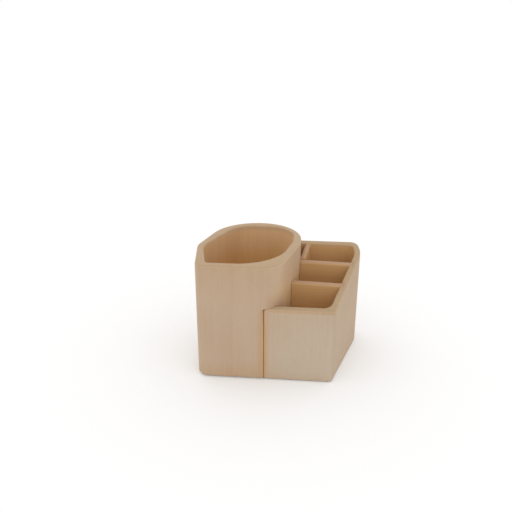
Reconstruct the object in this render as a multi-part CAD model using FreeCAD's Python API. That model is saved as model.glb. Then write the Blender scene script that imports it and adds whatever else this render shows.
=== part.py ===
# Desk caddy for hand tools: a tall leaf-shaped cup with a lower three-bay box scribed to its flank.
# Millimetres, +Z up, +Y towards the back, +X to the right. Origin: middle of the footprint, on the desk.
import FreeCAD
import Part
import math
import os

# Tall cup: flat front, round back and right side; the cavity is a leaf shape with its own corners
CUP_HEIGHT = 110.0
CUP_WIDTH = 88.0
CUP_DEPTH = 113.0
CUP_FRONT_TAPER = 17.0
CUP_FLANK_Y = 62.0
CUP_BACK_X = 13.5
CUP_KNEE_Y = 48.5
CUP_LEFT_BULGE = 6.0
CUP_FRONT_LEFT_R = 10.0
CUP_FRONT_RIGHT_R = 22.0
CUP_FLANK_R = 75.0
CUP_BACK_RIGHT_R = 40.0
CUP_BACK_LEFT_R = 46.0
CUP_KNEE_R = 16.0

# Walls round the cavity, and the cavity's corners
CUP_FRONT_WALL = 8.0
CUP_LEFT_WALL = 8.3
CUP_RIGHT_WALL = 7.2
CUP_BACK_WALL = 9.0
CUP_KNEE_WALL = 5.3
CAVITY_FRONT_TAPER = 14.0
CAVITY_FLANK_Y = 66.0
CAVITY_BACK_X = 24.2
CAVITY_KNEE_Y = 47.0
CAVITY_FRONT_LEFT_R = 3.0
CAVITY_FRONT_RIGHT_R = 44.5
CAVITY_FLANK_R = 30.0
CAVITY_BACK_RIGHT_R = 26.0
CAVITY_BACK_LEFT_R = 26.0
CAVITY_KNEE_R = 33.0

# Three-bay box: right wall flared, then tucked in at the back; top rising to the back
BAY_LAP = 12.4
BAY_FRONT_WIDTH = 61.0
BAY_SETBACK = 1.0
BAY_DEPTH = 98.0
BAY_FRONT_HEIGHT = 71.0
BAY_BACK_HEIGHT = 98.5
BAY_WALL = 5.6
BAY_FLARE_DEG = 17.6
BAY_BEND_Y = 82.5
BAY_TUCK_DEG = 12.0
BAY_FRONT_R = 2.4
BAY_BEND_R = 30.0
BAY_BACK_R = 8.0
BAY_END_R = 3.5
BAY_INNER_FRONT_R = 9.0
BAY_INNER_BEND_R = 24.0
BAY_INNER_BACK_R = 5.0

# Plates inside the box
DIVIDER_THICKNESS = 5.4
DIVIDER_TURN_DEG = 2.5
FRONT_DIVIDER_Y = 35.5
REAR_DIVIDER_Y = 65.0
INNER_SIDE_THICKNESS = 5.0
INNER_SIDE_PROUD = 4.3
INNER_SIDE_LEAN_DEG = 12.0

# Bases, housings and clearances
BASE_THICKNESS = 5.0
REBATE = 3.0
HOUSING_DEPTH = 2.5
BASE_GROOVE_DEPTH = 2.0
GLUE_LINE = 0.1
SLIDE_GAP = 0.25

# Rounded edges
CUP_RIM_R = 2.2
CUP_MOUTH_R = 1.6
BAY_RIM_R = 1.6
BAY_INNER_RIM_R = 1.6
PLATE_RIM_R = 2.0
CUP_FOOT_R = 2.8
BAY_FOOT_R = 1.4
SEAM_EASE_WIDTH = 2.6
SEAM_EASE_DEPTH = 1.1

# Non-slip pads, let into the bases
PAD_DIAMETER = 12.0
PAD_THICKNESS = 2.0
PAD_PROUD = 0.8
PAD_INSET = 16.0
CUP_PAD_ANGLES = (60.0, 135.0, 228.0, 315.0)
BAY_PAD_ANGLES = (57.0, 106.0, 256.0)

# Countersunk wood screws from inside the cup into the inner side of the back bay
SCREW_DIAMETER = 3.0
SCREW_HEAD_DIAMETER = 6.0
SCREW_HEAD_HEIGHT = 1.8
SCREW_SUNK = 0.3
SCREW_COVER = 1.2
SCREW_FROM_END = 5.0
SCREW_HEIGHTS = (24.0, 72.0)

# Cutters overrun the faces that they open by this much
OVERRUN = 5.0

# Least flat stretch that is left between two rounded corners
SHORTEST_FLAT = 0.5

# Edges are found by place within this distance, and by direction within this angle
TOLERANCE = 1e-4
PARALLEL_DEG = 8.0

UP = FreeCAD.Vector(0, 0, 1)
RIGHT = FreeCAD.Vector(1, 0, 0)
bottom_z = PAD_PROUD
floor_z = PAD_PROUD + BASE_THICKNESS
cup_front_width = CUP_WIDTH - CUP_FRONT_TAPER
bay_left_x = cup_front_width - BAY_LAP
bay_front_y = BAY_SETBACK
bay_back_y = BAY_SETBACK + BAY_DEPTH
bay_right_x = bay_left_x + BAY_FRONT_WIDTH
flare = math.tan(math.radians(BAY_FLARE_DEG))
tuck = math.tan(math.radians(BAY_TUCK_DEG))
divider_turn = math.tan(math.radians(DIVIDER_TURN_DEG))
wall_across_flare = BAY_WALL / math.cos(math.radians(BAY_FLARE_DEG))
rim_slope = (BAY_BACK_HEIGHT - BAY_FRONT_HEIGHT) / BAY_DEPTH
nearly_parallel = math.cos(math.radians(PARALLEL_DEG))


def outline(corners):
    """Closed wire through (x, y, radius) corners; a radius shrinks where its side is too short."""
    count = len(corners)
    points = [FreeCAD.Vector(x, y, 0) for x, y, _ in corners]
    halves = []
    setbacks = []
    for i, (_, _, radius) in enumerate(corners):
        half = (points[i - 1] - points[i]).getAngle(points[(i + 1) % count] - points[i]) / 2
        halves.append(half)
        setbacks.append(radius / math.tan(half))
    fits = []
    for i in range(count):
        side = points[i].distanceToPoint(points[i - 1]) - SHORTEST_FLAT
        fits.append(min(1, side / max(setbacks[i] + setbacks[i - 1], TOLERANCE)))
    starts = []
    middles = []
    ends = []
    for i, half in enumerate(halves):
        back = (points[i - 1] - points[i]).normalize()
        ahead = (points[(i + 1) % count] - points[i]).normalize()
        setback = setbacks[i] * min(fits[i], fits[(i + 1) % count])
        starts.append(points[i] + back * setback)
        ends.append(points[i] + ahead * setback)
        sagitta = setback * (1 - math.sin(half)) / math.cos(half)
        middles.append(points[i] + (back + ahead).normalize() * sagitta)
    edges = []
    for i in range(count):
        if setbacks[i] > 0:
            edges.append(Part.Arc(starts[i], middles[i], ends[i]).toShape())
        edges.append(Part.LineSegment(ends[i], starts[(i + 1) % count]).toShape())
    return Part.Wire(edges)


def prism(wire, low, high):
    """Solid of a closed flat wire between two heights."""
    face = Part.Face(wire)
    face.translate(UP * low)
    return face.extrude(UP * (high - low))


def right_wall_x(y, inset):
    """X of the box's flared right face at a depth, moved in by inset along X."""
    return bay_right_x + (y - bay_front_y) * flare - inset


def rim_height(y):
    """Height of the box's rising rim at a depth."""
    return BAY_FRONT_HEIGHT + (y - bay_front_y) * rim_slope


def above_rim():
    """Everything above the box's rising rim."""
    near = bay_front_y - OVERRUN
    far = bay_back_y + OVERRUN
    top = CUP_HEIGHT + BAY_BACK_HEIGHT
    profile = [(near, rim_height(near)), (far, rim_height(far)), (far, top), (near, top)]
    left = bay_left_x - CUP_WIDTH
    points = [FreeCAD.Vector(left, y, z) for y, z in profile]
    face = Part.Face(Part.makePolygon(points + points[:1]))
    return face.extrude(RIGHT * (right_wall_x(far, 0) + CUP_WIDTH - left))


def rim_edges(shape, along_only=None):
    """Edges that lie in the rising rim's plane, or only those that run along one direction."""
    found = []
    for edge in shape.Edges:
        middle = edge.valueAt((edge.FirstParameter + edge.LastParameter) / 2)
        points = [middle] + [vertex.Point for vertex in edge.Vertexes]
        on_rim = all(abs(p.z - rim_height(p.y)) < TOLERANCE for p in points)
        direction = edge.tangentAt(edge.FirstParameter)
        if on_rim and (along_only is None or abs(direction.dot(along_only)) > nearly_parallel):
            found.append(edge)
    return found


def level_edges(shape, height):
    """Edges that lie flat at a height."""
    boxes = [(edge, edge.BoundBox) for edge in shape.Edges]
    return [edge for edge, box in boxes if max(abs(box.ZMin - height), abs(box.ZMax - height)) < TOLERANCE]


def reach(face, start, direction):
    """How far a ray runs inside a flat face before it leaves it."""
    far = start + direction * (CUP_WIDTH + CUP_DEPTH)
    inside = Part.makeLine(start, far).common(face)
    first = min(inside.Edges, key=lambda edge: edge.distToShape(Part.Vertex(start))[0])
    return first.Length


def pads(face, angles, grown):
    """Round pads under a base, one along each angle from its middle, kept in from its edge."""
    middle = face.CenterOfMass
    discs = []
    for angle in angles:
        direction = FreeCAD.Vector(math.cos(math.radians(angle)), math.sin(math.radians(angle)), 0)
        place = middle + direction * (reach(face, middle, direction) - PAD_INSET)
        discs.append(Part.makeCylinder(PAD_DIAMETER / 2 + grown, PAD_THICKNESS + grown, place))
    return Part.makeCompound(discs)


# Cup plan: outside and cavity
cup_outline = outline([
    (CUP_WIDTH, CUP_DEPTH, CUP_BACK_RIGHT_R),
    (CUP_BACK_X, CUP_DEPTH, CUP_BACK_LEFT_R),
    (-CUP_LEFT_BULGE, CUP_KNEE_Y, CUP_KNEE_R),
    (0, 0, CUP_FRONT_LEFT_R),
    (cup_front_width, 0, CUP_FRONT_RIGHT_R),
    (CUP_WIDTH, CUP_FLANK_Y, CUP_FLANK_R),
])
cavity_right = CUP_WIDTH - CUP_RIGHT_WALL
cavity_back = CUP_DEPTH - CUP_BACK_WALL
cup_cavity = outline([
    (cavity_right, cavity_back, CAVITY_BACK_RIGHT_R),
    (CAVITY_BACK_X, cavity_back, CAVITY_BACK_LEFT_R),
    (CUP_KNEE_WALL - CUP_LEFT_BULGE, CAVITY_KNEE_Y, CAVITY_KNEE_R),
    (CUP_LEFT_WALL, CUP_FRONT_WALL, CAVITY_FRONT_LEFT_R),
    (cavity_right - CAVITY_FRONT_TAPER, CUP_FRONT_WALL, CAVITY_FRONT_RIGHT_R),
    (cavity_right, CAVITY_FLANK_Y, CAVITY_FLANK_R),
])
cup_base_outline = cup_cavity.makeOffset2D(REBATE)
cup_rebate_outline = cup_cavity.makeOffset2D(REBATE + GLUE_LINE)
beside_cup = prism(cup_outline.makeOffset2D(GLUE_LINE), bottom_z - OVERRUN, CUP_HEIGHT + OVERRUN)
clear_of_cup = prism(cup_outline.makeOffset2D(SLIDE_GAP), bottom_z - OVERRUN, CUP_HEIGHT + OVERRUN)


def bay_outline(inset, front_r, bend_r, back_r):
    """Plan of the box moved in by inset on three sides; its left side lies inside the cup."""
    front = bay_front_y + inset
    back = bay_back_y - inset
    across_flare = inset / math.cos(math.radians(BAY_FLARE_DEG))
    across_tuck = inset / math.cos(math.radians(BAY_TUCK_DEG))
    bend_y = BAY_BEND_Y + (across_flare - across_tuck) / (flare + tuck)
    bend_x = right_wall_x(bend_y, across_flare)
    left = bay_left_x - (OVERRUN if inset else 0)
    return outline([
        (left, front, 0),
        (right_wall_x(front, across_flare), front, front_r),
        (bend_x, bend_y, bend_r),
        (bend_x - (back - bend_y) * tuck, back, back_r),
        (left, back, 0),
    ])


# Box plan: outside, inside, and the base that is let into its walls
inner_radii = (BAY_INNER_FRONT_R, BAY_INNER_BEND_R, BAY_INNER_BACK_R)
bay_outside = bay_outline(0, BAY_FRONT_R, BAY_BEND_R, BAY_BACK_R)
bay_inside = bay_outline(BAY_WALL, *inner_radii)
behind_front_wall = outline([
    (0, bay_front_y + BAY_WALL, 0),
    (bay_right_x, bay_front_y + BAY_WALL, 0),
    (bay_right_x, bay_back_y + OVERRUN, 0),
    (0, bay_back_y + OVERRUN, 0),
])
bay_base_outline = bay_outline(BAY_WALL - REBATE, *inner_radii)
bay_rebate_outline = bay_outline(BAY_WALL - REBATE - GLUE_LINE, *inner_radii)


def turned_y(y, x):
    """Depth of a divider's face that meets the cup's side at y; its right end is turned to the front."""
    return y - (x - CUP_WIDTH) * divider_turn


def divider_end(y, inset):
    """Point where a divider's face reaches the flared wall, moved in by inset."""
    x = right_wall_x(y + CUP_WIDTH * divider_turn, inset) / (1 + flare * divider_turn)
    return (x, turned_y(y, x), 0)


def divider_outline(y, grown):
    """Plan of a divider: its right end is housed in the flared wall, its left end runs on into the cup."""
    near = y - grown
    far = y + DIVIDER_THICKNESS + grown
    inset = wall_across_flare - HOUSING_DEPTH - grown
    return outline([
        (bay_left_x, turned_y(near, bay_left_x), 0),
        divider_end(near, inset),
        divider_end(far, inset),
        (bay_left_x, turned_y(far, bay_left_x), 0),
    ])


def divider_housing(y):
    """Room that a divider slides in, open at the top."""
    low = floor_z - BASE_GROOVE_DEPTH
    return prism(divider_outline(y, SLIDE_GAP), low, CUP_HEIGHT)


def divider(y, wall):
    """Drop-in plate with a rounded top, scribed to the cup; its tongue fills the slot in the wall's rim."""
    low = floor_z - BASE_GROOVE_DEPTH + SLIDE_GAP
    plate = prism(divider_outline(y, 0), low, CUP_HEIGHT).cut(above_rim())
    rounded = plate.makeFillet(PLATE_RIM_R, rim_edges(plate, RIGHT))
    return rounded.fuse(plate.common(wall)).removeSplitter().cut(clear_of_cup)


# Inner side of the back bay: from the rear divider to the back wall, its front end against the cup's flank
lean = math.tan(math.radians(INNER_SIDE_LEAN_DEG))
inner_side_front_y = REAR_DIVIDER_Y + DIVIDER_THICKNESS + SLIDE_GAP
inner_side_back_y = bay_back_y - BAY_WALL - GLUE_LINE
inner_side_across = INNER_SIDE_THICKNESS / math.cos(math.radians(INNER_SIDE_LEAN_DEG))


def inner_side_x(y):
    """X of the inner side's right face at a depth."""
    return CUP_WIDTH + INNER_SIDE_PROUD + (y - inner_side_front_y) * lean


inner_side_outline = outline([
    (inner_side_x(inner_side_front_y) - inner_side_across, inner_side_front_y, 0),
    (inner_side_x(inner_side_front_y), inner_side_front_y, 0),
    (inner_side_x(inner_side_back_y), inner_side_back_y, 0),
    (inner_side_x(inner_side_back_y) - inner_side_across, inner_side_back_y, 0),
])

# Joining screws, along +X through the cup's wall
screw_y = inner_side_front_y + SCREW_FROM_END
cup_middle = FreeCAD.Vector(CUP_WIDTH / 2, screw_y, 0)
screw_start_x = cup_middle.x + reach(Part.Face(cup_cavity), cup_middle, RIGHT) + SCREW_SUNK
screw_tip_x = inner_side_x(screw_y) - SCREW_COVER


def screw(height, grown):
    """Countersunk screw, or with grown its hole with the countersink carried out to the cup's inside."""
    start = FreeCAD.Vector(screw_start_x, screw_y, height)
    shank = Part.makeCylinder(SCREW_DIAMETER / 2 + grown, screw_tip_x - screw_start_x + grown, start, RIGHT)
    head_r = SCREW_HEAD_DIAMETER / 2 + grown
    head = Part.makeCone(head_r, SCREW_DIAMETER / 2 + grown, SCREW_HEAD_HEIGHT, start, RIGHT)
    solid = shank.fuse(head)
    if grown:
        mouth = Part.makeCylinder(head_r, SCREW_SUNK + OVERRUN, start, RIGHT * -1)
        solid = solid.fuse(mouth)
    return solid.removeSplitter()


screws = Part.makeCompound([screw(height, 0) for height in SCREW_HEIGHTS])
screw_holes = Part.makeCompound([screw(height, GLUE_LINE) for height in SCREW_HEIGHTS])


def seam_cutter():
    """Housing in the cup's front corner for the end of the front wall, its edge eased by a flat round."""
    end_x = bay_left_x - GLUE_LINE
    depth = bay_front_y + BAY_WALL + GLUE_LINE + OVERRUN
    low = bottom_z - OVERRUN
    height = CUP_HEIGHT - low
    housing = Part.makeBox(CUP_WIDTH - end_x, depth, height, FreeCAD.Vector(end_x, -OVERRUN, low))
    ease_x = end_x - SEAM_EASE_WIDTH
    ease_r = (SEAM_EASE_WIDTH**2 + SEAM_EASE_DEPTH**2) / (2 * SEAM_EASE_DEPTH)
    ease_depth = SEAM_EASE_DEPTH + OVERRUN
    corner = Part.makeBox(SEAM_EASE_WIDTH, ease_depth, height, FreeCAD.Vector(ease_x, -OVERRUN, low))
    round_edge = Part.makeCylinder(ease_r, height, FreeCAD.Vector(ease_x, ease_r, low))
    rest_of_cup = above_rim()
    rest_of_cup.translate(UP * GLUE_LINE)
    return housing.fuse(corner.cut(round_edge)).cut(rest_of_cup)


def end_corner():
    """What the rounded top corner of the front wall's housed end leaves out."""
    middle = FreeCAD.Vector(bay_left_x + BAY_END_R, bay_front_y, BAY_FRONT_HEIGHT - BAY_END_R)
    corner = Part.Face(Part.makePolygon([
        middle,
        middle + UP * (BAY_END_R + OVERRUN),
        middle + UP * (BAY_END_R + OVERRUN) - RIGHT * (BAY_END_R + OVERRUN),
        middle - RIGHT * (BAY_END_R + OVERRUN),
        middle,
    ]))
    disc = Part.Face(Part.Wire(Part.makeCircle(BAY_END_R, middle, FreeCAD.Vector(0, 1, 0))))
    along_rim = FreeCAD.Vector(0, 1, rim_slope)
    cutter = corner.cut(disc).extrude(along_rim * (BAY_DEPTH + OVERRUN * 2))
    cutter.translate(along_rim * -OVERRUN)
    return cutter


def end_edges(shape):
    """Edges of the front wall's face at its housed end, above the bottom round."""
    found = []
    for edge in shape.Edges:
        box = edge.BoundBox
        in_front = box.YMax < bay_front_y + TOLERANCE
        at_end = box.XMax < bay_left_x + BAY_END_R + TOLERANCE
        if in_front and at_end and box.ZMax > bottom_z + BAY_FRONT_HEIGHT / 2:
            found.append(edge)
    return found


# Tall cup, routed through, with a rebate for its base
tool_cup = prism(cup_outline, bottom_z, CUP_HEIGHT)
tool_cup = tool_cup.makeFillet(CUP_FOOT_R, level_edges(tool_cup, bottom_z))
tool_cup = tool_cup.makeFillet(CUP_RIM_R, level_edges(tool_cup, CUP_HEIGHT))
tool_cup = tool_cup.cut(prism(cup_cavity, bottom_z - OVERRUN, CUP_HEIGHT + OVERRUN))
mouth = cup_cavity.copy()
mouth.translate(UP * CUP_HEIGHT)
top_edges = level_edges(tool_cup, CUP_HEIGHT)
mouth_edges = [edge for edge in top_edges if edge.distToShape(mouth)[0] < TOLERANCE]
tool_cup = tool_cup.makeFillet(CUP_MOUTH_R, mouth_edges)
tool_cup = tool_cup.cut(prism(cup_rebate_outline, bottom_z - OVERRUN, floor_z + GLUE_LINE))
tool_cup = tool_cup.cut(screw_holes).cut(seam_cutter())

# Cup base
cup_base_face = Part.Face(cup_base_outline)
cup_base = prism(cup_base_outline, bottom_z, floor_z).cut(pads(cup_base_face, CUP_PAD_ANGLES, GLUE_LINE))

# Box walls: front, flared right side and back in one piece, housed for the dividers
bay_block = prism(bay_outside, bottom_z, CUP_HEIGHT).cut(above_rim()).cut(end_corner())
past_end_x = bay_left_x + BAY_END_R + TOLERANCE
outer_rim = [edge for edge in rim_edges(bay_block) if edge.BoundBox.XMax > past_end_x]
bay_block = bay_block.makeFillet(BAY_RIM_R, outer_rim + end_edges(bay_block))
bay_block = bay_block.makeFillet(BAY_FOOT_R, level_edges(bay_block, bottom_z))
bay_room = prism(bay_inside, bottom_z - OVERRUN, CUP_HEIGHT + OVERRUN)
bay_walls = bay_block.cut(bay_room)
inner_rim = [edge for edge in rim_edges(bay_walls) if edge.distToShape(bay_room)[0] < TOLERANCE]
bay_walls = bay_walls.makeFillet(BAY_INNER_RIM_R, inner_rim)
bay_rebate = prism(bay_rebate_outline, bottom_z - OVERRUN, floor_z + GLUE_LINE)
bay_walls = bay_walls.cut(bay_rebate.cut(prism(cup_outline, bottom_z - OVERRUN, CUP_HEIGHT)))
bay_walls = bay_walls.cut(beside_cup.common(prism(behind_front_wall, bottom_z - OVERRUN, CUP_HEIGHT)))
front_divider = divider(FRONT_DIVIDER_Y, bay_walls)
rear_divider = divider(REAR_DIVIDER_Y, bay_walls)
for divider_y in (FRONT_DIVIDER_Y, REAR_DIVIDER_Y):
    bay_walls = bay_walls.cut(divider_housing(divider_y))

# Box base, scribed to the cup, with a shallow groove for each divider
bay_base = prism(bay_base_outline, bottom_z, floor_z).cut(beside_cup)
bay_base_face = Part.Face(bay_base_outline).cut(Part.Face(cup_outline.makeOffset2D(GLUE_LINE)))
bay_base = bay_base.cut(pads(bay_base_face, BAY_PAD_ANGLES, GLUE_LINE))
for divider_y in (FRONT_DIVIDER_Y, REAR_DIVIDER_Y):
    bay_base = bay_base.cut(divider_housing(divider_y))

# Inner side of the back bay
inner_side = prism(inner_side_outline, floor_z, CUP_HEIGHT).cut(above_rim())
long_edges = rim_edges(inner_side, FreeCAD.Vector(lean, 1, rim_slope).normalize())
inner_side = inner_side.makeFillet(PLATE_RIM_R, long_edges).cut(beside_cup).cut(screw_holes)

parts = {
    "tool_cup": tool_cup,
    "cup_base": cup_base,
    "bay_walls": bay_walls,
    "bay_base": bay_base,
    "bay_inner_side": inner_side,
    "front_divider": front_divider,
    "rear_divider": rear_divider,
    "joining_screws": screws,
    "cup_pads": pads(cup_base_face, CUP_PAD_ANGLES, 0),
    "bay_pads": pads(bay_base_face, BAY_PAD_ANGLES, 0),
}

# Everything moves so that the origin is the middle of the footprint
footprint = Part.makeCompound(list(parts.values())).optimalBoundingBox(False, False)
to_origin = FreeCAD.Vector(-footprint.Center.x, -footprint.Center.y, 0)

os.makedirs("parts", exist_ok=True)
for name, shape in parts.items():
    shape.translate(to_origin)
    shape.exportStep(f"parts/{name}.step")
    box = shape.optimalBoundingBox(False, False)
    size = f"{box.XLength:.1f} x {box.YLength:.1f} x {box.ZLength:.1f} mm"
    print(f"{name}: {len(shape.Solids)} solids, valid {shape.isValid()}, {size}")
print(f"origin moved by {to_origin.x:.3f}, {to_origin.y:.3f}")
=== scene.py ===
import bmesh
import bpy
import math
from mathutils import Matrix, Vector


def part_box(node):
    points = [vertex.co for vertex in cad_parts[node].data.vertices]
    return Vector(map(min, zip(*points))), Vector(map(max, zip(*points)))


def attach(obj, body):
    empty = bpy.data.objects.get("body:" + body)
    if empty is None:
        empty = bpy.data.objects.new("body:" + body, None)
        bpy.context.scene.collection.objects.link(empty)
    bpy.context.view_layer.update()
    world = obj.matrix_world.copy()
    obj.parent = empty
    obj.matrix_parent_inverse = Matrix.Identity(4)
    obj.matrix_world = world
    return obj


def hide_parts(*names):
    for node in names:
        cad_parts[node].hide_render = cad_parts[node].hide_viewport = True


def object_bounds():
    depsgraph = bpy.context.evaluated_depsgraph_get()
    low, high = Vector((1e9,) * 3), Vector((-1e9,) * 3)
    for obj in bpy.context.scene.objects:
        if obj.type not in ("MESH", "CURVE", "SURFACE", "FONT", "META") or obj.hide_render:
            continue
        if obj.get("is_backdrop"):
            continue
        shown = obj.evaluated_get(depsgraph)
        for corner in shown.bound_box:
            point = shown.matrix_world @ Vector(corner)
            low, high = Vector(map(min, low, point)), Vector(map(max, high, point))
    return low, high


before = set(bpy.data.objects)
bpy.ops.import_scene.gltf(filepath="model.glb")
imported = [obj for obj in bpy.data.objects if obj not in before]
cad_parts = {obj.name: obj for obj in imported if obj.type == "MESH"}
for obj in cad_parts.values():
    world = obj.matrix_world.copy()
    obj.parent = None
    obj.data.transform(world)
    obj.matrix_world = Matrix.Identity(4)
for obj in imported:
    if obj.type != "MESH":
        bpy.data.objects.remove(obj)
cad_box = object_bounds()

# Tall cup: a leaf-shaped block of pale, close-grained hardwood, routed through from top to bottom.
# Its grain stands upright, so the faces show faint long streaks and the rim shows end grain.
# It is sanded and oil-finished matt. Its routed inside and the flank beside the box are warmer and richer,
# partly from the oil and partly as painted bounce light; the bands on its upper wall and foot are partly
# oil wear and partly painted shade, the seam band is partly glue-line tone and partly painted shade, the
# band above the box's front wall is painted shade, and its top faces are end grain darkened further as
# painted shade.


class Socket:
    """An output of a shader node. Arithmetic on it adds Math nodes to the same tree."""

    def __init__(self, tree, output):
        self.tree = tree
        self.output = output

    def node(self, kind, settings, inputs, output=0):
        """Adds a node: its settings first, then the values or links of its sockets."""
        made = self.tree.nodes.new(kind)
        for name, value in settings.items():
            setattr(made, name, value)
        for name, value in inputs.items():
            if isinstance(value, Socket):
                self.tree.links.new(value.output, made.inputs[name])
            else:
                made.inputs[name].default_value = value
        return Socket(self.tree, made.outputs[output])

    def math(self, operation, first, second=0.0):
        return self.node("ShaderNodeMath", {"operation": operation}, {0: first, 1: second})

    def __add__(self, other):
        return self.math("ADD", self, other)

    __radd__ = __add__

    def __sub__(self, other):
        return self.math("SUBTRACT", self, other)

    def __rsub__(self, other):
        return self.math("SUBTRACT", other, self)

    def __mul__(self, other):
        return self.math("MULTIPLY", self, other)

    __rmul__ = __mul__

    def __truediv__(self, other):
        return self.math("DIVIDE", self, other)

    def __pow__(self, other):
        return self.math("POWER", self, other)

    def __abs__(self):
        return self.math("ABSOLUTE", self)

    def between(self, low, high):
        """0 below low, 1 above high, and a smooth step between them."""
        ends = {"Value": self, "From Min": low, "From Max": high}
        return self.node("ShaderNodeMapRange", {"interpolation_type": "SMOOTHSTEP"}, ends)

    def tint(self, first, second, blend="MIX"):
        """A colour that goes from first to second by this share, or is multiplied by second."""
        settings = {"data_type": "RGBA", "blend_type": blend}
        return self.node("ShaderNodeMix", settings, {0: self, 6: first, 7: second}, 2)

    def vector(self, operation, second, output=0):
        return self.node("ShaderNodeVectorMath", {"operation": operation}, {0: self, 1: second}, output)

    def stretched(self, scale):
        return self.node("ShaderNodeMapping", {}, {"Vector": self, "Scale": scale})

    def noise(self, scale, detail):
        return self.node("ShaderNodeTexNoise", {}, {"Vector": self, "Scale": scale, "Detail": detail})

    def axis(self, name):
        return self.node("ShaderNodeSeparateXYZ", {}, {"Vector": self}, name)

    def feeds(self, shader, name):
        self.tree.links.new(self.output, shader.inputs[name])


def new_finish(name):
    """A fresh material: itself, its Object coordinates, its Object normals and its main shader."""
    material = bpy.data.materials.new(name)
    material.use_nodes = True
    tree = material.node_tree
    coordinates = tree.nodes.new("ShaderNodeTexCoord")
    place = Socket(tree, coordinates.outputs["Object"])
    normal = Socket(tree, coordinates.outputs["Normal"])
    return material, place, normal, tree.nodes["Principled BSDF"]


def facing(place, normal, middle):
    """Share of a surface that faces an upright line through middle, as the inside of a cup does."""
    away = place.vector("SUBTRACT", middle)
    level = away.vector("MULTIPLY", (-1, -1, 0))
    towards = level.node("ShaderNodeVectorMath", {"operation": "NORMALIZE"}, {0: level})
    return towards.vector("DOT_PRODUCT", normal, "Value").between(0.05, 0.55)


RING_WIDTH = 0.0031
RING_WANDER = 0.012
LONG_GRAIN = (1, 1, 0.06)
SHORT_GRAIN = (1, 1, 0.2)
STREAK_SCALE = 140
FIBRE_SCALE = 1500
PORE_SCALE = 1200
PORE_EDGE = (0.67, 0.75)
CLOUD_SCALE = 16
GRAIN_TINT = (0.78, 0.70, 0.60, 1)
GRAIN_DEPTH = 0.00006
OILED_ROUGHNESS = 0.54


def oiled_wood(name, pith, along, figure, colour_of):
    """Close-grained wood: faint rings about a pith line, with fibres, streaks and pores along the grain."""
    material, place, normal, shader = new_finish(name)
    turn = {"X": (0, math.pi / 2, 0), "Z": (0, 0, 0)}[along]
    moved = place.vector("SUBTRACT", pith)
    grain = moved.node("ShaderNodeMapping", {}, {"Vector": moved, "Rotation": turn})
    long_grain = grain.stretched(LONG_GRAIN)
    short_grain = grain.stretched(SHORT_GRAIN)
    radius = grain.vector("MULTIPLY", (1, 1, 0)).vector("LENGTH", (0, 0, 0), "Value")
    rings = (radius + (long_grain.noise(24, 2) - 0.5) * RING_WANDER) / RING_WIDTH
    within = rings.math("FRACT", rings)
    late_wood = within ** 3 * (1 - within.between(0.9, 1.0))
    year = rings.math("FLOOR", rings)
    strength = year.node("ShaderNodeTexWhiteNoise", {"noise_dimensions": "1D"}, {"W": year})
    streaks = long_grain.noise(STREAK_SCALE, 3)
    fibre = long_grain.noise(FIBRE_SCALE, 3)
    pores = short_grain.noise(PORE_SCALE, 1).between(*PORE_EDGE)
    cloud = place.noise(CLOUD_SCALE, 2)
    ringed = late_wood * (0.05 + strength * 0.2) + (streaks - 0.5) * 0.7
    shade = ringed * figure + (cloud - 0.5) * 0.5 + (fibre - 0.5) * 0.4 + pores * 0.3 + 0.2
    base = colour_of(place, normal)
    shade.tint(base, GRAIN_TINT, "MULTIPLY").feeds(shader, "Base Color")
    (OILED_ROUGHNESS + (fibre - 0.5) * 0.14 + pores * 0.1).feeds(shader, "Roughness")
    relief = (fibre - 0.5) * 0.5 - pores * 0.8 - late_wood * 0.15
    bump = {"Height": relief, "Distance": GRAIN_DEPTH, "Strength": 0.4}
    relief.node("ShaderNodeBump", {}, bump).feeds(shader, "Normal")
    shader.inputs["Specular IOR Level"].default_value = 0.35
    return material


def dress(node, material):
    """Gives a node that keeps its own shape its finish."""
    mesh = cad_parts[node].data
    mesh.materials.clear()
    mesh.materials.append(material)


SANDED = (0.556, 0.409, 0.285, 1)
OILED_AND_BOUNCE = (0.750, 0.510, 0.276, 1)
CUP_DEEP = (0.745, 0.484, 0.218, 1)
SEAM_TONE_AND_SHADE = (0.570, 0.372, 0.205, 1)
JOINT_SHADE = (0.505, 0.333, 0.212, 1)
OIL_WEAR_AND_SHADE = (0.548, 0.370, 0.220, 1)
END_GRAIN_AND_SHADE = (0.505, 0.357, 0.216, 1)
LEFT_SHADE = (0.90, 0.85, 0.84, 1)
CUP_MIDDLE = (-0.026, 0.004, 0)
CUP_PITH = (-0.10, 0.09, 0)
MOUTH_BAND = (0.1030, 0.1090)
DEEP_BAND = (0.074, 0.096)
UPPER_BAND = (0.070, 0.108)
FLANK_BAND = (0.075, 0.100)
FOOT_BAND = (0.002, 0.024)
BOX_BACK = (0.034, 0.043)
JOINT_HEIGHT = 0.070
JOINT_HALF = (0.003, 0.020)
JOINT_DEPTH = (-0.050, -0.032)
SEAM_X = -0.01078
SEAM_HALF = (0.0005, 0.0065)
SEAM_DEPTH = (-0.054, -0.048)
SEAM_TOP = (0.068, 0.073)
RIM_RISE = (0.30, 0.95)


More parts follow.
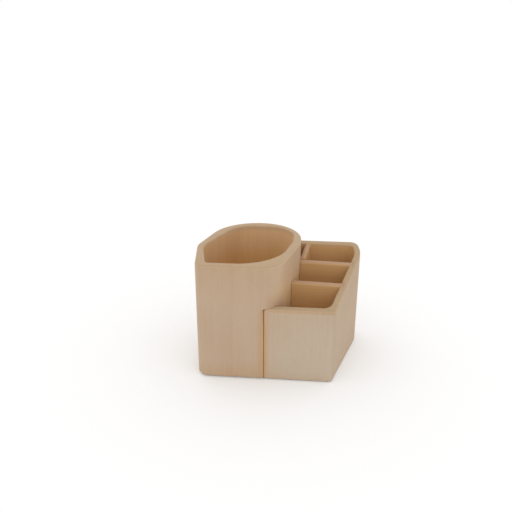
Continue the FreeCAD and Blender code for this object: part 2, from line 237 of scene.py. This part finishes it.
def cup_colour(place, normal):
    """Sanded outside; inside and on the flank beside the box a warmer oil tone raised as painted bounce
    light, richer low down, with painted shade on the left inside wall; oil wear and painted shade on the
    upper wall and foot, glue-line tone and painted shade at the seam, painted shade above the box's front
    wall; end grain and painted shade on top.
    """
    height = place.axis("Z")
    depth = place.axis("Y")
    rightwards = normal.axis("X")
    inside = facing(place, normal, CUP_MIDDLE) * (1 - height.between(*MOUTH_BAND) * 0.75)
    # Painted shade: the cup's flank just above the box's front wall is darkened in place of the shade of a
    # soft fillet.
    near_front = 1 - depth.between(*JOINT_DEPTH)
    beside_joint = 1 - abs(height - JOINT_HEIGHT).between(*JOINT_HALF)
    above_wall = beside_joint * rightwards.between(0.05, 0.55) * near_front
    in_box = 1 - depth.between(*BOX_BACK)
    # Painted bounce light: the flank inside the bays takes the inside's oil tone, most of it low down.
    flank_oil_and_bounce = rightwards.between(0.35, 0.95) * in_box * (0.60 - height.between(*FLANK_BAND) * 0.40)
    # Partly oil wear, partly painted shade: the upper wall and the foot take a darker, warmer band.
    upper = height.between(*UPPER_BAND) * (1 - rightwards.between(0.2, 0.8)) * 0.35
    foot = (1 - height.between(*FOOT_BAND)) * 0.55
    # Partly glue-line tone, partly painted shade: the groove between cup and box is darker and warmer.
    in_front = 1 - depth.between(*SEAM_DEPTH)
    below_box_rim = 1 - height.between(*SEAM_TOP)
    seam = (1 - abs(place.axis("X") - SEAM_X).between(*SEAM_HALF)) * in_front * below_box_rim
    edges = above_wall.tint(seam.tint((upper + foot).tint(SANDED, OIL_WEAR_AND_SHADE), SEAM_TONE_AND_SHADE), JOINT_SHADE)
    # Partly end grain, partly painted shade: upward-facing surfaces are darkened against the open sky above
    # them.
    rim = normal.axis("Z").between(*RIM_RISE)
    # Painted bounce light and shade: the inside's oil tone is warmer and brighter than the wood outside,
    # richer low down, and darker on the left inside wall.
    sunk = height.between(*DEEP_BAND).tint(CUP_DEEP, OILED_AND_BOUNCE)
    deep = (inside * rightwards.between(0.1, 0.9)).tint(sunk, LEFT_SHADE, "MULTIPLY")
    oil_and_bounce_share = inside + flank_oil_and_bounce * (1 - above_wall)
    return rim.tint(oil_and_bounce_share.tint(edges, deep), END_GRAIN_AND_SHADE)


dress("tool_cup", oiled_wood("cup_wood", CUP_PITH, "Z", 0.7, cup_colour))

# Cup base: a flat panel of the same wood, let into a rebate under the cup and glued.
# Its grain runs from side to side; only its top face, the cup's floor, is oil-finished, and its colour
# there is raised as painted bounce light.
BASE_PITH = (0, 0.04, 0.06)


def base_colour(place, normal):
    """Oil tone raised as painted bounce light on top, bare underneath."""
    return normal.axis("Z").between(-0.5, 0.5).tint(SANDED, OILED_AND_BOUNCE)


base_wood = oiled_wood("base_wood", BASE_PITH, "X", 1.0, base_colour)
dress("cup_base", base_wood)

# Box walls: front, flared right side and back of the three-bay box, cut from one upright-grained block.
# The front wall's rounded end is housed in the cup's front corner and glued there.
# The block is paler than the cup, most of all low on its front.
PALER_FRONT = (0.585, 0.478, 0.365, 1)
DEEP = (0.640, 0.388, 0.170, 1)
DEEPEST = (0.760, 0.440, 0.195, 1)
BOX_RIM = (0.468, 0.335, 0.197, 1)
BAY_MIDDLE = (0.040, -0.005, 0)
PALER_FRONT_AT = (0.042, -0.056, 0.016)
FRONT_RIM = 0.071
RIM_SLOPE = 0.2806
FRONT_Y = -0.0555
RIGHT_SHADE = (0.92, 0.89, 0.82, 1)
BOX_PITH = (0.20, 0.12, 0)
OILED_BAND = (0.008, 0.034)
LIP_BAND = (0.0005, 0.0040)
PALER_FRONT_REACH = (0.020, 0.080)
RIGHT_BAND = (0.020, 0.070)
EDGE_DROP = 0.0014
EDGE_HALF = (0.0004, 0.0022)
BOX_FOOT_BAND = (0.001, 0.010)
BOX_SEAM_HALF = (0.0005, 0.0060)


def under_rim(place):
    """Depth of a point below the sloping plane of the box's rim."""
    return FRONT_RIM + (place.axis("Y") - FRONT_Y) * RIM_SLOPE - place.axis("Z")


def bay_inside(place):
    """Oil tone inside the box, raised as painted bounce light, strongest low down."""
    return under_rim(place).between(*OILED_BAND).tint(DEEP, DEEPEST)


def box_colour(place, normal):
    """Sanded outside and palest low in front; inside, an oil tone raised as painted bounce light; painted
    shade on right-facing faces and in a thin line under the rim; oil wear and painted shade at the foot,
    glue-line tone and painted shade at the seam; end grain and painted shade on top.
    """
    height = place.axis("Z")
    below_rim = under_rim(place)
    inside = facing(place, normal, BAY_MIDDLE) * (0.3 + below_rim.between(*LIP_BAND) * 0.7)
    # Paler and greyer around a point low on the front, less so on right-facing faces.
    from_front = place.vector("DISTANCE", PALER_FRONT_AT, "Value")
    to_right = normal.axis("X").between(0.3, 0.9)
    pale = ((1 - from_front.between(*PALER_FRONT_REACH)) * (1 - to_right * 0.6)).tint(SANDED, PALER_FRONT)
    shade = to_right * (0.35 + height.between(*RIGHT_BAND) * 0.5)
    shaded = shade.tint(pale, RIGHT_SHADE, "MULTIPLY")
    # Painted shade: a thin darker line just under the rim stands in for the crease of the rounded edge; the
    # foot band is partly oil wear, partly painted shade.
    edge = (1 - abs(below_rim - EDGE_DROP).between(*EDGE_HALF)) * 0.9
    foot = (1 - height.between(*BOX_FOOT_BAND)) * 0.35
    # Partly glue-line tone, partly painted shade: the box's end next to the cup is darker and warmer.
    seam = 1 - (place.axis("X") - SEAM_X).between(*BOX_SEAM_HALF)
    edges = seam.tint((edge + foot).tint(shaded, OIL_WEAR_AND_SHADE), SEAM_TONE_AND_SHADE)
    # Partly end grain, partly painted shade: upward-facing surfaces are darkened against the open sky above
    # them.
    rim = normal.axis("Z").between(*RIM_RISE)
    return rim.tint(inside.tint(edges, bay_inside(place)), BOX_RIM)


dress("bay_walls", oiled_wood("box_wood", BOX_PITH, "Z", 0.4, box_colour))

# Box base: a panel of the same wood as the cup's base, let into the box's walls and glued.
# It is scribed round the cup, and has a groove for each divider.
dress("bay_base", base_wood)

# Inner side of the back bay: a small upright board with a rounded top, screwed to the cup from inside.
# Like all that stands inside the box it takes the deep oil tone raised as painted bounce light, and its
# rounded top takes a darker, duller tone as painted shade.
PLATE_TOP_SHADE = (0.492, 0.303, 0.180, 1)
SIDE_PITH = (0.15, 0.10, 0)


def plate_colour(place, normal):
    """Deep oil tone with painted bounce light on its faces, painted shade on its rounded top."""
    return normal.axis("Z").between(0.2, 0.9).tint(bay_inside(place), PLATE_TOP_SHADE)


dress("bay_inner_side", oiled_wood("side_wood", SIDE_PITH, "Z", 0.8, plate_colour))

# Joining screws: two countersunk steel wood screws with a cross recess, driven from inside the cup
# through its wall into the inner side of the back bay. The thread is all in the wood.
HEAD_RADIUS = 0.003
HEAD_LENGTH = 0.0018
SHANK_RADIUS = 0.0015
RECESS_ARM = 0.0017
RECESS_HALF = 0.00042
RECESS_DEPTH = 0.0012
THREAD_ROOT = 0.00115
THREAD_TURNS = 6
RECESS_TAPER = 0.7
POINT_RADIUS = 0.00014375
BRIGHT_STEEL = (0.60, 0.58, 0.53, 1)
DULL_STEEL = (0.46, 0.44, 0.40, 1)


def drawn(mesh, edges, x, radius):
    """Extrudes a ring round the X axis to a new place and radius, and returns its new edges."""
    made = bmesh.ops.extrude_edge_only(mesh, edges=edges)["geom"]
    for vertex in (v for v in made if isinstance(v, bmesh.types.BMVert)):
        across = Vector((0, vertex.co.y, vertex.co.z))
        across *= radius / across.length
        vertex.co = (x, across.y, across.z)
    return [edge for edge in made if isinstance(edge, bmesh.types.BMEdge)]


def add_screw(mesh, length, place):
    """One screw: cross recess, flat countersunk head, threaded shank and point, along +X from place."""
    screw = bmesh.new()
    turned = Matrix.Rotation(math.pi / 2, 4, "Y")
    bmesh.ops.create_circle(screw, segments=32, radius=HEAD_RADIUS, matrix=turned)
    head = screw.edges[:]
    arm, half = RECESS_ARM, RECESS_HALF
    quarter = [(arm, -half), (arm, half), (half, half)]
    corners = []
    for step in range(4):
        turn = Matrix.Rotation(step * math.pi / 2, 2)
        corners += [turn @ Vector(corner) for corner in quarter]
    points = [screw.verts.new((0, corner.x, corner.y)) for corner in corners]
    cross = [screw.edges.new((point, points[i - 1])) for i, point in enumerate(points)]
    bmesh.ops.bridge_loops(screw, edges=head + cross)
    recess = bmesh.ops.extrude_edge_only(screw, edges=cross)["geom"]
    sunk = [item for item in recess if isinstance(item, bmesh.types.BMVert)]
    recess_floor = [item for item in recess if isinstance(item, bmesh.types.BMEdge)]
    bmesh.ops.scale(screw, vec=(1, RECESS_TAPER, RECESS_TAPER), verts=sunk)
    bmesh.ops.translate(screw, vec=(RECESS_DEPTH, 0, 0), verts=sunk)
    bmesh.ops.contextual_create(screw, geom=recess_floor)
    ring = drawn(screw, head, HEAD_LENGTH, SHANK_RADIUS)
    pitch = (length - HEAD_LENGTH * 2) / THREAD_TURNS
    for turn in range(THREAD_TURNS):
        crest = HEAD_LENGTH + pitch * (turn + 0.5)
        ring = drawn(screw, ring, crest - pitch / 2, THREAD_ROOT)
        ring = drawn(screw, ring, crest, SHANK_RADIUS)
    ring = drawn(screw, ring, length - HEAD_LENGTH / 2, THREAD_ROOT)
    ring = drawn(screw, ring, length, POINT_RADIUS)
    bmesh.ops.contextual_create(screw, geom=ring)
    bmesh.ops.recalc_face_normals(screw, faces=screw.faces[:])
    bmesh.ops.translate(screw, vec=place, verts=screw.verts[:])
    part = bpy.data.meshes.new("screw")
    screw.to_mesh(part)
    mesh.from_mesh(part)


def add_piece(mesh, name, body, slot, material, *nodes):
    """Makes a finished mesh the named piece that stands for CAD nodes."""
    data = bpy.data.meshes.new(name)
    mesh.to_mesh(data)
    data.materials.append(material)
    piece = bpy.data.objects.new(name, data)
    bpy.context.scene.collection.objects.link(piece)
    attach(piece, body)
    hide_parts(*nodes)


steel, place, normal, shader = new_finish("screw_steel")
shader.inputs["Metallic"].default_value = 1.0
brushed = place.stretched((0.2, 1, 1)).noise(2600, 3)
stain = place.noise(420, 2).between(0.52, 0.72)
brushed.tint(BRIGHT_STEEL, DULL_STEEL).feeds(shader, "Base Color")
(0.26 + brushed * 0.16 + stain * 0.14).feeds(shader, "Roughness")

low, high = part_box("joining_screws")
screws = bmesh.new()
for height in (low.z + HEAD_RADIUS, high.z - HEAD_RADIUS):
    add_screw(screws, high.x - low.x, (low.x, (low.y + high.y) / 2, height))
add_piece(screws, "joining_screws_steel", "caddy", "screw", steel, "joining_screws")

# Dividers: two plates that drop into grooves and lift out, their left ends scribed to the cup.
# Boards of the same wood with the grain running across the box, rounded along the top.
DIVIDER_PITH = (0, -0.05, 0.03)
divider_wood = oiled_wood("divider_wood", DIVIDER_PITH, "X", 0.8, plate_colour)
dress("front_divider", divider_wood)
dress("rear_divider", divider_wood)

# Pads: soft rubber discs glued into pockets under the bases, where they stand a little proud.
# The underside has two shallow rings and a rounded edge. The profile is in millimetres.
PAD_PROFILE = [
    (0, 0), (1.8, 0), (2.0, 0.3), (2.6, 0.3), (2.8, 0), (3.9, 0), (4.1, 0.3), (4.7, 0.3),
    (4.9, 0), (5.55, 0), (5.8, 0.08), (5.95, 0.25), (6.0, 0.5), (6.0, 2.0), (0, 2.0),
]
PAD_SPACING = 0.013
PAD_STEPS = 48
MILLIMETRE = 0.001
WELD = 0.000001
RUBBER = (0.045, 0.04, 0.036, 1)
WORN_RUBBER = (0.085, 0.076, 0.066, 1)
DUST = (0.17, 0.15, 0.12, 1)
RUBBER_GRAIN = 0.00005


def pad_middles(node):
    """Middle of each disc of a node; discs stand further apart than the pads' spacing."""
    pads = []
    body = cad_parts[node]
    for vertex in body.data.vertices:
        point = body.matrix_world @ vertex.co
        near = [pad for pad in pads if (pad[0] - point).length < PAD_SPACING]
        if near:
            near[0].append(point)
        else:
            pads.append([point])
    for pad in pads:
        across = [point.x for point in pad]
        along = [point.y for point in pad]
        yield (min(across) + max(across)) / 2, (min(along) + max(along)) / 2


def pad_discs(node):
    """One ribbed disc in place of each disc of the node, resting on the desk."""
    discs = bmesh.new()
    for radius, height in PAD_PROFILE:
        discs.verts.new((radius * MILLIMETRE, 0, height * MILLIMETRE))
    discs.verts.ensure_lookup_table()
    for pair in zip(discs.verts[:], discs.verts[1:]):
        discs.edges.new(pair)
    bmesh.ops.spin(
        discs, geom=discs.verts[:] + discs.edges[:], cent=(0, 0, 0), axis=(0, 0, 1),
        angle=math.tau, steps=PAD_STEPS, use_merge=True,
    )
    bmesh.ops.remove_doubles(discs, verts=discs.verts[:], dist=WELD)
    bmesh.ops.recalc_face_normals(discs, faces=discs.faces[:])
    first = discs.verts[:]
    whole = first + discs.edges[:] + discs.faces[:]
    for x, y in pad_middles(node):
        copy = bmesh.ops.duplicate(discs, geom=whole)["geom"]
        corners = [item for item in copy if isinstance(item, bmesh.types.BMVert)]
        bmesh.ops.translate(discs, vec=(x, y, 0), verts=corners)
    bmesh.ops.delete(discs, geom=first, context="VERTS")
    return discs


rubber, place, normal, shader = new_finish("pad_rubber")
grit = place.noise(1800, 3)
dust = place.noise(160, 2).between(0.45, 0.75) * 0.5
dust.tint(grit.tint(RUBBER, WORN_RUBBER), DUST).feeds(shader, "Base Color")
(0.68 + grit * 0.2).feeds(shader, "Roughness")
grain = {"Height": grit, "Distance": RUBBER_GRAIN, "Strength": 0.5}
grit.node("ShaderNodeBump", {}, grain).feeds(shader, "Normal")
add_piece(pad_discs("cup_pads"), "cup_pads_rubber", "caddy", "pad", rubber, "cup_pads")
add_piece(pad_discs("bay_pads"), "bay_pads_rubber", "caddy", "pad", rubber, "bay_pads")

# Floor and light: a matt white surface that keeps the soft shadow, under an even white sky.
# Seen directly or in a reflection, the floor is lifted to the white of the sky.
FLOOR_SIZE = 12
FLOOR_WHITE = (0.88, 0.88, 0.88, 1)
DARK = (0, 0, 0, 1)
FLOOR_LIFT = (0.14, 0.14, 0.14, 1)
bpy.ops.mesh.primitive_plane_add(size=FLOOR_SIZE)
floor = bpy.context.object
floor.name = "floor"
floor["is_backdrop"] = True
floor_white, place, normal, shader = new_finish("floor_white")
shader.inputs["Base Color"].default_value = FLOOR_WHITE
shader.inputs["Roughness"].default_value = 1.0
shader.inputs["Specular IOR Level"].default_value = 0.0
shader.inputs["Emission Strength"].default_value = 1.0
seen = place.node("ShaderNodeLightPath", {}, {}, "Is Camera Ray")
mirrored = place.node("ShaderNodeLightPath", {}, {}, "Is Glossy Ray")
through = place.node("ShaderNodeLightPath", {}, {}, "Is Transmission Ray")
(seen + mirrored + through).tint(DARK, FLOOR_LIFT).feeds(shader, "Emission Color")
floor.data.materials.append(floor_white)

world = bpy.data.worlds.new("even_sky")
bpy.context.scene.world = world
world.use_nodes = True
world.node_tree.nodes["Background"].inputs["Color"].default_value = (1, 1, 1, 1)
world.node_tree.nodes["Background"].inputs["Strength"].default_value = 1.0

# Camera: the photograph's viewpoint, above the front and a little right of the cup.
# It looks down and a little to the left, through a lens fitted to the corners of the cup and the box.
FOCAL_PIXELS = 600
FRAME_PIXELS = 512
SENSOR = 36
VIEWPOINT = (0.02595, -0.51053, 0.31024)
LOOKS_DOWN = 22.59
LOOKS_LEFT = 5.41
camera_data = bpy.data.cameras.new("camera")
camera_data.sensor_width = SENSOR
camera_data.lens = SENSOR * FOCAL_PIXELS / FRAME_PIXELS
camera = bpy.data.objects.new("camera", camera_data)
camera.location = VIEWPOINT
camera.rotation_euler = (math.radians(90 - LOOKS_DOWN), 0, math.radians(LOOKS_LEFT))
bpy.context.scene.collection.objects.link(camera)
bpy.context.scene.camera = camera

bpy.context.scene.view_settings.view_transform = "Standard"
boxes = {"cad": cad_box, "visual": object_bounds()}
{name: [list(low), list(high)] for name, (low, high) in boxes.items()}
